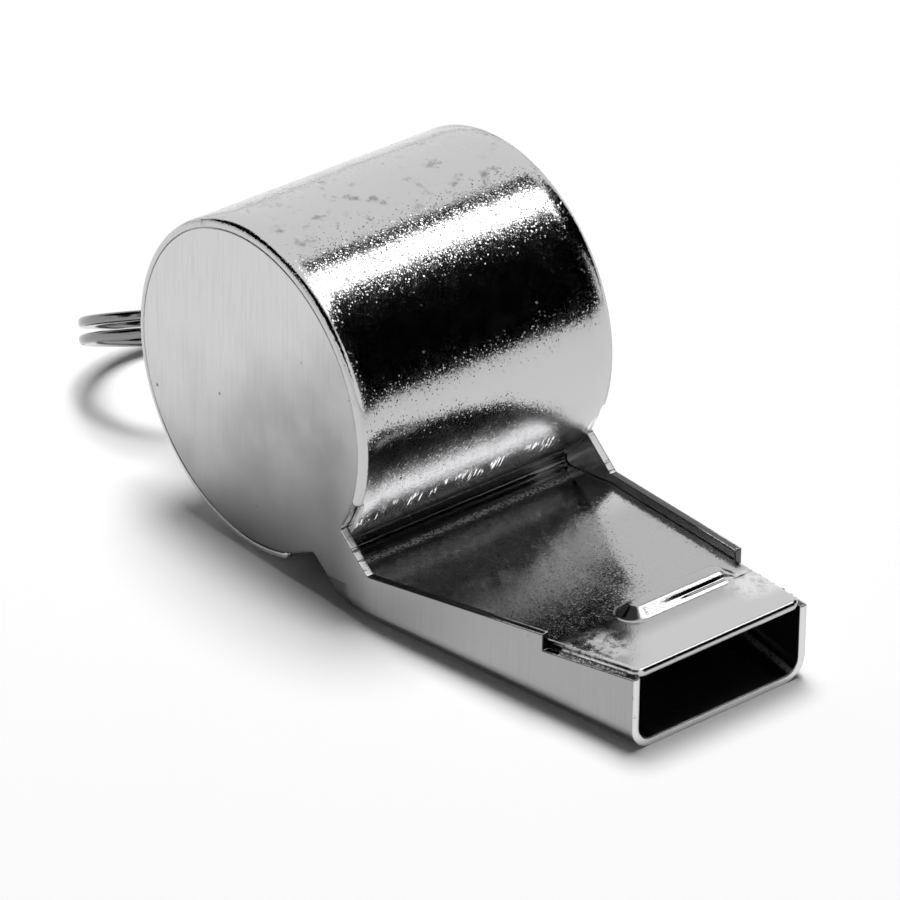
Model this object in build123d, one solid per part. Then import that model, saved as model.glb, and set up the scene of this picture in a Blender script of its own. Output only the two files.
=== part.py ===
from build123d import *
import math
import os

# Sports whistle of folded sheet metal, lying with its air window on the table.
# +X points to the mouth, Y is the barrel's axis, +Z is up and the table is at z = 0.

# Driving dimensions: millimetres and degrees
SHEET = 0.5                 # thickness of both folded sheets
BARREL_DIAMETER = 22.0      # over the strip
BARREL_WIDTH = 20.0         # over the cheeks
BARREL_LIFT = 0.4           # the barrel's underside stands this far above the table
MOUTH_REACH = 32.2          # barrel axis to the mouth's face
MOUTH_WIDTH = 13.7          # over the side walls at the mouth
MOUTH_HEIGHT = 5.5          # table to the top of the head at the mouth
PLATE_SLOPE = 7.0           # the plate rises towards the mouth
PLATE_RECESS = 0.6          # plate lies this far below the wall tops
PLATE_FIT = 0.05            # gap between the plate's sides and the walls
CREASE_RADIUS = 0.4         # hairpin bend between plate and barrel, concave side
CORNER_RADIUS = 1.5         # outer bend between floor and walls
FLARE_RADIUS = 8.0          # bend from the cheek's plane to the tapering wall
FLARE_GAP = 0.3             # that bend starts this far in front of the cheek's circle

WALL_START = 0.4            # wall top starts this far in front of the barrel
THROAT_ANGLE = 33.0         # below level: where the wall's cut leaves the cheek's circle
NECK_ANGLE = 53.9           # below level: where the neck's lower edge leaves the circle
NECK_SLOPE = 36.0           # the neck's lower edge falls towards the floor
STRIP_FRONT_ANGLE = 18.6    # below level: where the strip narrows to pass between the cheeks
LIP_ANGLE = 71.6            # below level: the strip's end, the lip of the window
LIP_ROUND = 0.3             # outer edge of the lip; its inner edge is sharp
WINDOW_LENGTH = 5.8         # lip to the floor's rear edge
NECK_ROUND = 0.35           # rounding of the sheet's outline at the neck
WALL_ROUND = 0.2            # rounding of the wall's rear top corner
RIM_ROUND = 0.4             # outer edges of the strip
TAB_NOSE = 0.28             # round ends of the strip's edges over the cheeks, seen from the side
CHEEK_BREAK = 0.12          # broken outer edge of the cheeks, which shows the seam

HEAD_LENGTH = 5.85          # T-head, along X
NOTCH_GAP = 1.15            # wall top ends this far behind the head
HEAD_INSET = 0.35           # the head's sides lie this far inside the walls' outer faces
HEAD_CORNER = 0.8           # rounding of the head's front corners, seen from above
HEAD_EDGE_ROUND = 0.3       # upper edge of the head

RIDGE_LENGTH = 8.7          # tooth ridge, across the plate, at its foot
RIDGE_WIDTH = 2.6
RIDGE_HEIGHT = 0.65
RIDGE_DRAFT = 52.0          # slope of its sides from upright
RIDGE_FROM_MOUTH = 6.0      # ridge middle to the mouth's face
RIDGE_OFFSET = 1.7          # pressed off centre, to +Y
RIDGE_TOP_ROUND = 0.25
RIDGE_FOOT_ROUND = 0.4

PEA_DIAMETER = 11.0
PEA_CLEARANCE = 0.3         # pea to the strip's inner face

LUG_ANGLE = 17.0            # below level, on the barrel's back
LUG_THICKNESS = 1.2
LUG_HOLE = 3.0
LUG_HOLE_FLOOR = 0.45       # metal left between the hole and the barrel
LUG_WALL = 1.0              # metal round the hole's outer side
LUG_FOOT = 6.4              # foot's length round the barrel

RING_BORE = 12.4            # inside the turns
RING_WIRE_WIDTH = 1.1       # flat wire, across the ring's face
RING_WIRE_HEIGHT = 0.65     # along the ring's axis
RING_WIRE_ROUND = 0.25
RING_GAP = 0.42             # between the two turns
RING_RAMP = 60.0            # part of a turn in which the wire steps to the other level
RING_END_GAP = 10.0         # wire ends stop this far before the ramp
RING_RAMP_PLACE = 100.0     # middle of the ramp, from the ring's far edge towards +Y
RING_SKEW = 17.0            # the ring hangs askew in the lug's wide hole
RING_LIFT = 0.05            # room between the ring and the table

SOLDER_LEG = 0.5            # leg of a solder fillet
SOLDER_HOLLOW = 0.22        # how far a fillet's face is drawn in, as a share of its shorter leg
SOLDER_FIT = 0.02           # solder along a curve stands this far off the barrel's sheet
SOLDER_SETBACK = 1.0        # plate solder stops this far behind the mouth
HEAD_SOLDER_WIDTH = 0.3     # fillet on the wall beside the head
HEAD_SOLDER_HEIGHT = 0.2

# Steps of the two searches
HALVINGS = 40               # for the ring's droop
GAP_POINTS = 720            # along the ring's wire, for its gap to itself

# Derived sizes
barrel_r = BARREL_DIAMETER / 2
cheek_r = barrel_r - SHEET
half_width = BARREL_WIDTH / 2
cheek_inner = half_width - SHEET
half_mouth = MOUTH_WIDTH / 2
slope = math.radians(PLATE_SLOPE)
wall_x = barrel_r + WALL_START
flare_x = cheek_r + FLARE_GAP
flare_run = MOUTH_REACH - flare_x
flare_drop = half_mouth - half_width + FLARE_RADIUS
taper = math.asin(FLARE_RADIUS / math.hypot(flare_run, flare_drop)) - math.atan2(flare_drop, flare_run)
flare_tangent = FLARE_RADIUS * math.tan(taper / 2)
head_rear = MOUTH_REACH - HEAD_LENGTH
notch_x = head_rear - NOTCH_GAP
sheet_rise = SHEET / math.cos(slope)
recess_rise = PLATE_RECESS / math.cos(slope)
lip_x = barrel_r * math.cos(math.radians(LIP_ANGLE))
floor_rear = lip_x + WINDOW_LENGTH
wrap_turn = 360 - LIP_ANGLE + STRIP_FRONT_ANGLE
ring_mid_r = RING_BORE / 2 + RING_WIRE_WIDTH / 2
ring_pitch = RING_WIRE_HEIGHT + RING_GAP
hole_reach = barrel_r + LUG_HOLE_FLOOR + LUG_HOLE / 2
centre = Vector(0, barrel_r + BARREL_LIFT)


def round_point(radius, degrees):
    """Point of the side view on a circle about the barrel's axis."""
    angle = math.radians(degrees)
    return centre + Vector(math.cos(angle), math.sin(angle)) * radius


def plate_top(x):
    """Height of the plate's upper face."""
    return MOUTH_HEIGHT - (MOUTH_REACH - x) * math.tan(slope)


def plate_under(x):
    """Height of the plate's lower face, and of the seats that carry the head."""
    return plate_top(x) - sheet_rise


def wall_top(x):
    """Height of the side walls' upper edge behind the notch."""
    return plate_top(x) + recess_rise


def wall_outer(x):
    """Half width over the side walls."""
    return half_mouth + (MOUTH_REACH - x) * math.tan(taper)


def across(face, half):
    """Side-view face in the XZ plane, extruded to both sides of the middle."""
    return extrude(Plane.XZ * face, amount=half, both=True)


def trough_solid(rear, front, inset, floor, radius, height):
    """Channel-shaped block seen from above: straight at the barrel, then tapering to the mouth."""
    bend_x = flare_x + flare_tangent - inset * math.tan(taper / 2)
    wide = half_width - inset
    narrow = wall_outer(front) - inset / math.cos(taper)
    near_side = [(rear, -wide), (bend_x, -wide), (front, -narrow)]
    corners = near_side + [(x, -y) for x, y in reversed(near_side)]
    plan = make_face(Polyline(*corners, close=True))
    bends = [v for v in plan.vertices() if abs(v.X - bend_x) < SHEET]
    plan = fillet(bends, FLARE_RADIUS - inset)
    block = extrude(Pos(0, 0, floor) * plan, amount=height - floor)
    sides = block.edges().group_by(Axis.Z)[0].filter_by(Axis.Y, reverse=True)
    return fillet(sides, radius) if radius > 0 else block


def hairpin():
    """Centre and tangent points of the bend that joins the plate to the barrel."""
    along = Vector(math.cos(slope), math.sin(slope))
    normal = Vector(-math.sin(slope), math.cos(slope))
    mouth_edge = Vector(MOUTH_REACH, MOUTH_HEIGHT)
    to_centre = centre - mouth_edge
    depth = normal.dot(to_centre) - CREASE_RADIUS
    reach = math.sqrt((barrel_r + CREASE_RADIUS) ** 2 - depth ** 2)
    middle = mouth_edge + along * (along.dot(to_centre) + reach) + normal * CREASE_RADIUS
    inward = (centre - middle).normalized()
    return middle, normal, inward


def body_channel():
    """Folded sheet: windway floor, side walls and the two cheeks that close the barrel."""
    throat = round_point(cheek_r, -THROAT_ANGLE)
    neck = round_point(cheek_r, -NECK_ANGLE)
    corner_mid = CORNER_RADIUS / 2
    neck_low_x = min(neck.X + (neck.Y - corner_mid) / math.tan(math.radians(NECK_SLOPE)), floor_rear)
    outline = Polyline(
        (floor_rear, 0),
        (MOUTH_REACH, 0),
        (MOUTH_REACH, plate_under(MOUTH_REACH)),
        (notch_x, plate_under(notch_x)),
        (notch_x, wall_top(notch_x)),
        (wall_x, wall_top(wall_x)),
        (throat.X, throat.Y),
        (centre.X, centre.Y),
        (neck.X, neck.Y),
        (neck_low_x, corner_mid),
        close=True,
    )
    side = Pos(centre.X, centre.Y) * Circle(cheek_r) + make_face(outline)
    side = fillet(side.vertices().sort_by_distance((throat.X, throat.Y))[0], WALL_ROUND)
    side = fillet(side.vertices().sort_by_distance((neck.X, neck.Y))[0], NECK_ROUND)
    side = fillet(side.vertices().sort_by_distance((wall_x, wall_top(wall_x)))[0], WALL_ROUND)
    trough_rear = neck.X - SHEET
    middle = centre.Y
    top = middle + barrel_r
    outer = trough_solid(trough_rear, MOUTH_REACH, 0, 0, CORNER_RADIUS, middle)
    inner = trough_solid(trough_rear, MOUTH_REACH, SHEET, SHEET, CORNER_RADIUS - SHEET, middle)
    flats = make_face(Polyline(
        (-barrel_r, 0),
        (trough_rear, 0),
        (trough_rear, middle),
        (flare_x, middle),
        (flare_x, top),
        (-barrel_r, top),
        close=True,
    ))
    sheet = outer - inner + across(flats, half_width) - across(flats, cheek_inner)
    return (sheet & across(side, half_width)) - rim_break(1) - rim_break(-1)


def rim_break(side):
    """What the broken edge takes off the rim of one cheek, clear of the neck's rounded corners."""
    first = math.degrees(2 * WALL_ROUND / cheek_r) - THROAT_ANGLE
    last = 360 - NECK_ANGLE - math.degrees(2 * NECK_ROUND / cheek_r)
    inside = (cheek_r - 2 * CHEEK_BREAK, side * (half_width + CHEEK_BREAK))
    corner = (cheek_r + CHEEK_BREAK, side * (half_width + CHEEK_BREAK))
    outside = (cheek_r + CHEEK_BREAK, side * (half_width - 2 * CHEEK_BREAK))
    section = make_face(Polyline(inside, corner, outside, close=True))
    return turned(radial_plane(first, 0) * section, last - first)


def radial_plane(degrees, y):
    """Plane through the barrel's axis: local X points outwards and local Y along the axis."""
    angle = math.radians(degrees)
    outward = Vector(math.cos(angle), 0, math.sin(angle))
    return Plane(origin=(centre.X, y, centre.Y), x_dir=outward, z_dir=outward.cross(Vector(0, 1, 0)))


def turned(section, degrees):
    """Section turned about the barrel's axis, from its own plane."""
    axis = Axis((centre.X, 0, centre.Y), (0, -1, 0))
    return revolve(section, axis, degrees)


def barrel_wrap():
    """Wide stretch of the strip round the cheeks, its outer rims and its lip rounded."""
    section = Pos(barrel_r - SHEET / 2, 0) * Rectangle(SHEET, BARREL_WIDTH)
    section = fillet(section.vertices().group_by(Axis.X)[-1], RIM_ROUND)
    wrap = turned(radial_plane(-STRIP_FRONT_ANGLE, 0) * section, wrap_turn)
    lip = round_point(barrel_r, -LIP_ANGLE)
    edge = wrap.edges().filter_by(Axis.Y).sort_by_distance((lip.X, 0, lip.Y))[0]
    return fillet(edge, LIP_ROUND) - tab_nose(1) - tab_nose(-1)


def tab_nose(side):
    """What is cut off one edge of the strip to round its end over the cheek."""
    middle_r = barrel_r - SHEET / 2
    inner_r = cheek_r - SHEET
    outer_r = barrel_r + SHEET
    step = math.degrees(TAB_NOSE / middle_r)
    nose_angle = step - STRIP_FRONT_ANGLE
    past_angle = nose_angle - 2 * step
    nose = round_point(middle_r, nose_angle)
    corners = [(inner_r, nose_angle), (outer_r, nose_angle), (outer_r, past_angle), (inner_r, past_angle)]
    waste = make_face(Polyline(*[round_point(*corner) for corner in corners], close=True))
    waste -= Pos(nose.X, nose.Y) * Circle(TAB_NOSE)
    return Pos(0, side * (half_width - SHEET / 2), 0) * across(waste, SHEET / 2)


def plate_face():
    """Side view of the narrow stretch: plate, hairpin bend and barrel front."""
    middle, normal, inward = hairpin()
    apex = (inward - normal).normalized()
    bend_angle = math.degrees(math.atan2(-inward.Y, -inward.X))
    outer_bend = CREASE_RADIUS + SHEET
    top_tangent = middle - normal * CREASE_RADIUS
    low_tangent = middle - normal * outer_bend
    rise = -STRIP_FRONT_ANGLE - bend_angle
    arc_out = CenterArc((centre.X, centre.Y), barrel_r, bend_angle, rise)
    arc_in = CenterArc((centre.X, centre.Y), cheek_r, bend_angle, rise)
    crease = ThreePointArc(top_tangent, middle + apex * CREASE_RADIUS, arc_out @ 0)
    fold = ThreePointArc(low_tangent, middle + apex * outer_bend, arc_in @ 0)
    top = Line((MOUTH_REACH, plate_top(MOUTH_REACH)), top_tangent)
    low = Line((MOUTH_REACH, plate_under(MOUTH_REACH)), low_tangent)
    edges = [top, crease, arc_out, Line(arc_out @ 1, arc_in @ 1), arc_in, fold, low, Line(low @ 0, top @ 0)]
    return make_face(edges)


def t_head():
    """Wide head of the strip, which sits on the side walls at the mouth."""
    rear = wall_outer(head_rear) - HEAD_INSET
    front = half_mouth - HEAD_INSET
    corners = [(head_rear, -rear), (MOUTH_REACH, -front), (MOUTH_REACH, front), (head_rear, rear)]
    plan = make_face(Polyline(*corners, close=True))
    plan = fillet(plan.vertices().group_by(Axis.X)[-1], HEAD_CORNER)
    ends = (head_rear - SHEET, MOUTH_REACH + SHEET)
    slab = [(x, plate_under(x)) for x in ends] + [(x, plate_top(x)) for x in reversed(ends)]
    head = extrude(plan, amount=barrel_r) & across(make_face(Polyline(*slab, close=True)), half_width)
    top = max(head.faces(), key=lambda face: face.normal_at().Z)
    return fillet(top.edges().sort_by(Axis.X)[1:], HEAD_EDGE_ROUND)


def ridge_plane():
    """Plane on the plate's upper face under the ridge, local X along the plate."""
    x = MOUTH_REACH - RIDGE_FROM_MOUTH
    along = (math.cos(slope), 0, math.sin(slope))
    normal = (-math.sin(slope), 0, math.cos(slope))
    return Plane(origin=(x, RIDGE_OFFSET, plate_top(x)), x_dir=along, z_dir=normal)


def ridge_block(half, bottom, top, rounding):
    """Bar across the plate with sloping sides and round ends, of a given half width at its bottom."""
    height = top - bottom
    upper = half - height * math.tan(math.radians(RIDGE_DRAFT))
    run = RIDGE_LENGTH - RIDGE_WIDTH
    section = make_face(Polyline((-half, bottom), (half, bottom), (upper, top), (-upper, top), close=True))
    bar = across(section, run / 2)
    for side in (1, -1):
        bar += Pos(0, side * run / 2, (bottom + top) / 2) * Cone(half, upper, height)
    return ridge_plane() * fillet(bar.edges().group_by(Axis.Z)[-1], rounding)


def ridge_foot(sheet):
    """Edges where the ridge rises from the plate."""
    plane = ridge_plane()
    near = SHEET / 10
    edges = []
    for edge in sheet.edges():
        spot = plane.to_local_coords(edge.center())
        inside = abs(spot.X) < RIDGE_WIDTH / 2 + near and abs(spot.Y) < RIDGE_LENGTH / 2 + near
        if inside and abs(spot.Z) < near:
            edges.append(edge)
    return edges


def barrel_strip():
    """Folded sheet: T-head, plate with the pressed ridge, hairpin bend and barrel wrap to the lip."""
    room = trough_solid(0, MOUTH_REACH - HEAD_LENGTH / 2, SHEET + PLATE_FIT, -SHEET, 0, BARREL_DIAMETER)
    sheet = (across(plate_face(), half_width) & room) + barrel_wrap() + t_head()
    draft = math.radians(RIDGE_DRAFT)
    spread = SHEET * math.tan(draft)
    sheet += ridge_block(RIDGE_WIDTH / 2 + spread / 2, -SHEET / 2, RIDGE_HEIGHT, RIDGE_TOP_ROUND)
    sheet = fillet(ridge_foot(sheet), RIDGE_FOOT_ROUND)
    hollow = RIDGE_WIDTH / 2 + spread - SHEET / math.cos(draft)
    return sheet - ridge_block(hollow, -SHEET, RIDGE_HEIGHT - SHEET, RIDGE_TOP_ROUND / 2)


def pea():
    """Cork ball at the bottom of the barrel."""
    orbit = cheek_r - PEA_CLEARANCE - PEA_DIAMETER / 2
    return Pos(0, 0, centre.Y - orbit) * Sphere(PEA_DIAMETER / 2)


def lug_direction():
    """Unit vector of the side view from the barrel's axis to the lug's hole."""
    angle = math.radians(180 + LUG_ANGLE)
    return Vector(math.cos(angle), math.sin(angle))


def ring_lug():
    """Ear with a round hole, its foot curved to the barrel."""
    out = lug_direction()
    hole = centre + out * hole_reach
    end_r = LUG_HOLE / 2 + LUG_WALL
    tangent = Vector(-out.Y, out.X)
    root = centre + out * (barrel_r - SHEET)
    flank = math.asin((LUG_FOOT / 2 - end_r) / (hole_reach - barrel_r + SHEET))
    ear = [hole + (tangent * side * math.cos(flank) + out * math.sin(flank)) * end_r for side in (1, -1)]
    foot = [root + tangent * side * LUG_FOOT / 2 for side in (1, -1)]
    outline = [
        Line(foot[0], ear[0]),
        ThreePointArc(ear[0], hole + out * end_r, ear[1]),
        Line(ear[1], foot[1]),
        Line(foot[1], foot[0]),
    ]
    face = make_face(outline) - Pos(hole.X, hole.Y) * Circle(LUG_HOLE / 2)
    face -= Pos(centre.X, centre.Y) * Circle(barrel_r)
    return across(face, LUG_THICKNESS / 2)


def fillet_face(width=SOLDER_LEG, height=SOLDER_LEG):
    """Hollow-faced solder fillet in the corner of local X and Y."""
    slant = math.hypot(width, height)
    hollow = SOLDER_HOLLOW * min(width, height)
    dip = (width / 2 - hollow * height / slant, height / 2 - hollow * width / slant)
    legs = [Line((0, 0), (width, 0)), Line((0, 0), (0, height))]
    return make_face([*legs, ThreePointArc((width, 0), dip, (0, height))])


def seam_solder(side):
    """Fillet inside the barrel, between one cheek and the strip."""
    corner = Pos(cheek_r - SOLDER_FIT, side * cheek_inner)
    legs = corner * Rot(0, 0, 180 if side > 0 else 90) * fillet_face()
    return turned(radial_plane(-STRIP_FRONT_ANGLE, 0) * legs, wrap_turn)


def straight_bead(face, across_y, start, end):
    """Solder section carried along a straight seam: its local X is +Y or -Y, and its local Y is up."""
    run = Vector(*end) - Vector(*start)
    section = Plane(origin=start, x_dir=(0, across_y, 0), z_dir=(across_y, 0, 0)) * face
    return extrude(section, run.length, dir=run)


def plate_solder(side):
    """Fillet under the plate, along one side wall of the windway."""
    ends = []
    for x in (flare_x + 2 * flare_tangent, MOUTH_REACH - SOLDER_SETBACK):
        ends.append((x, side * (wall_outer(x) - SHEET / math.cos(taper)), plate_under(x)))
    return straight_bead(mirror(fillet_face(), Plane.XZ), -side, *ends)


def head_solder(side):
    """Fillet on the wall beside the head, along one side of it."""
    ends = []
    for x in (head_rear, MOUTH_REACH - HEAD_CORNER):
        ends.append((x, side * (wall_outer(x) - HEAD_INSET), plate_under(x)))
    return straight_bead(fillet_face(HEAD_SOLDER_WIDTH, HEAD_SOLDER_HEIGHT), side, *ends)


def lug_solder():
    """The two beads beside the lug's foot."""
    reach = math.degrees(LUG_FOOT / 2 / barrel_r)
    beads = []
    for side in (1, -1):
        corner = Pos(barrel_r + SOLDER_FIT, side * LUG_THICKNESS / 2)
        legs = corner * Rot(0, 0, 0 if side > 0 else -90) * fillet_face()
        beads.append(turned(radial_plane(180 + LUG_ANGLE - reach, 0) * legs, 2 * reach))
    return Compound(beads)


def ring_axes(droop):
    """Unit vectors of the ring: lug to ring middle, wire direction at the lug, ring axis."""
    skew = math.radians(RING_SKEW)
    down = Vector(-math.cos(droop), 0, -math.sin(droop))
    square = down.cross(Vector(0, 1, 0))
    wire = Vector(0, 1, 0) * math.cos(skew) + square * math.sin(skew)
    return down, wire, down.cross(wire)


def ring_extent(droop, direction):
    """How far the ring reaches from the lug's hole along a unit direction."""
    down, wire, axis = ring_axes(droop)
    level = math.hypot(down.dot(direction), wire.dot(direction))
    upright = abs(axis.dot(direction))
    core = level * (ring_mid_r + RING_WIRE_WIDTH / 2 - RING_WIRE_ROUND)
    core += upright * (ring_pitch + RING_WIRE_HEIGHT - 2 * RING_WIRE_ROUND) / 2
    return down.dot(direction) * ring_mid_r + core + RING_WIRE_ROUND


def ring_droop():
    """Angle below level at which the ring's far edge comes to the table, found by halving."""
    height = centre.Y + lug_direction().Y * hole_reach - RING_LIFT
    low, high = 0.0, math.pi / 2
    for _ in range(HALVINGS):
        middle = (low + high) / 2
        low, high = (middle, high) if ring_extent(middle, Vector(0, 0, -1)) < height else (low, middle)
    return low


def biarc(start, start_tangent, end, end_tangent):
    """Two arcs that leave and arrive along the given directions."""
    gap = end - start
    both = start_tangent + end_tangent
    a = 2 * (start_tangent.dot(end_tangent) - 1)
    b = -2 * gap.dot(both)
    c = gap.dot(gap)
    reach = (-b - math.sqrt(b * b - 4 * a * c)) / (2 * a)
    joint = (start + start_tangent * reach + end - end_tangent * reach) * 0.5
    first = TangentArc(start, joint, tangent=start_tangent)
    return [first, TangentArc(joint, end, tangent=first % 1)]


def split_ring():
    """Two turns of one wire: a level turn, a ramp and a second level turn above it."""
    turn = 360 - RING_RAMP - RING_END_GAP
    ramp_start = turn

    def spot(degrees, level):
        angle = math.radians(degrees)
        return Vector(ring_mid_r * math.cos(angle), ring_mid_r * math.sin(angle), level * ring_pitch / 2)

    def heading(degrees):
        angle = math.radians(degrees)
        return Vector(-math.sin(angle), math.cos(angle), 0)

    def level_turn(start, level):
        arcs = []
        for half in (0, 1):
            first = start + half * turn / 2
            arcs.append(CenterArc((0, 0, level * ring_pitch / 2), ring_mid_r, first, turn / 2))
        return arcs

    ramp_end = ramp_start + RING_RAMP
    ramp_mid = (ramp_start + ramp_end) / 2
    climb = Vector(0, 0, ring_pitch / math.radians(RING_RAMP) / ring_mid_r)
    steep = (heading(ramp_mid) + climb * 2).normalized()
    ramp = biarc(spot(ramp_start, -1), heading(ramp_start), spot(ramp_mid, 0), steep)
    ramp += biarc(spot(ramp_mid, 0), steep, spot(ramp_end, 1), heading(ramp_end))
    path = Wire(level_turn(0, -1) + ramp + level_turn(ramp_end, 1))
    start = Plane(origin=path @ 0, x_dir=(1, 0, 0), z_dir=path % 0)
    section = start * RectangleRounded(RING_WIRE_WIDTH, RING_WIRE_HEIGHT, RING_WIRE_ROUND)
    ring = sweep(section, path=path)
    print(f"split ring volume {ring.volume:.3f}, section times length {section.area * path.length:.3f}")
    print(f"split ring least gap to itself {ring_self_gap(path):.3f} mm")
    droop = ring_droop()
    down, wire, axis = ring_axes(droop)
    hole = centre + lug_direction() * hole_reach
    middle = Vector(hole.X, 0, hole.Y) + down * ring_mid_r
    return Plane(origin=middle, x_dir=down, z_dir=axis) * Rot(0, 0, RING_RAMP_PLACE - ramp_mid) * ring


def ring_self_gap(path):
    """Least distance between the wire's surface and itself, over points more than half a turn apart."""
    points = [path @ (i / GAP_POINTS) for i in range(GAP_POINTS + 1)]
    apart = int(GAP_POINTS * math.pi * ring_mid_r / path.length)
    pairs = ((a, b) for i, a in enumerate(points) for b in points[i + apart:])
    return min((a - b).length for a, b in pairs) - RING_WIRE_HEIGHT


def model():
    """Every piece by its name, in the frame of the barrel's axis."""
    return {
        "body_channel": body_channel(),
        "barrel_strip": barrel_strip(),
        "pea": pea(),
        "ring_lug": ring_lug(),
        "lug_solder": lug_solder(),
        "split_ring": split_ring(),
        "seam_solder_left": seam_solder(-1),
        "seam_solder_right": seam_solder(1),
        "plate_solder_left": plate_solder(-1),
        "plate_solder_right": plate_solder(1),
        "head_solder_left": head_solder(-1),
        "head_solder_right": head_solder(1),
    }


def main():
    """Write every piece, moved so that the origin is at the bottom middle of the whole."""
    os.makedirs("parts", exist_ok=True)
    hole_x = lug_direction().X * hole_reach
    rear = hole_x - ring_extent(ring_droop(), Vector(-1, 0, 0))
    shift = -(rear + MOUTH_REACH) / 2
    print(f"barrel axis at x {shift:.4f}, ring droop {math.degrees(ring_droop()):.3f}")
    for name, solid in model().items():
        export_step(Pos(shift, 0, 0) * solid, f"parts/{name}.step")


main()
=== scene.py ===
"""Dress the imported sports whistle: plated sheets, solder seams, cork ball and split ring.

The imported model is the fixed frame. Lengths are metres, +X points to the mouth,
Y is the barrel's axis and the whistle lies on the table at z = 0.
"""

from __future__ import annotations

import logging
import math
from dataclasses import dataclass
from enum import Enum

import bmesh
import bpy
from mathutils import Matrix, Vector, noise

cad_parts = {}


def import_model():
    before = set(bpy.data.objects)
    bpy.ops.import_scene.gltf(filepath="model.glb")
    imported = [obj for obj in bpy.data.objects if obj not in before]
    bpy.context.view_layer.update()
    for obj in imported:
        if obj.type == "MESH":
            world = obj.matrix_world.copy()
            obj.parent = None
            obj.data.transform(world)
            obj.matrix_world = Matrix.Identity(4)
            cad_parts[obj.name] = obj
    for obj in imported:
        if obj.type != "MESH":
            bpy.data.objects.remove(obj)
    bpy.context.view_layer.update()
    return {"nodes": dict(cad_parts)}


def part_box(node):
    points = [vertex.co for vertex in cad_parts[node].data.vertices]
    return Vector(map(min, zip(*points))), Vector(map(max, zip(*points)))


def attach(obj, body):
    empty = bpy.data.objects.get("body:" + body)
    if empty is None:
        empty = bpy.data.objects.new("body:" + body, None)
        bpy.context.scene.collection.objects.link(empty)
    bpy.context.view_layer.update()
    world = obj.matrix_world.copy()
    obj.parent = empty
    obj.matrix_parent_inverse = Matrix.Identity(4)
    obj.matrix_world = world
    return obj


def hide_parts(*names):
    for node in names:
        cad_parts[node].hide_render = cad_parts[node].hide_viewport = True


LOG = logging.getLogger("whistle")
MM = 0.001
MICRON = 1e-6
ZERO = (0.0, 0.0, 0.0)

# An edge is where a smooth step starts and ends, a band has a rising and a falling edge.
Edge = tuple[float, float]
Band = tuple[Edge, Edge]
Triple = tuple[float, float, float]
Colour = tuple[float, float, float, float]
Socket = bpy.types.NodeSocket
Value = float | tuple | Socket


class Body(Enum):
    """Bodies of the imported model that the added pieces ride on."""

    WHISTLE = "whistle"
    PEA = "pea"


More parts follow.
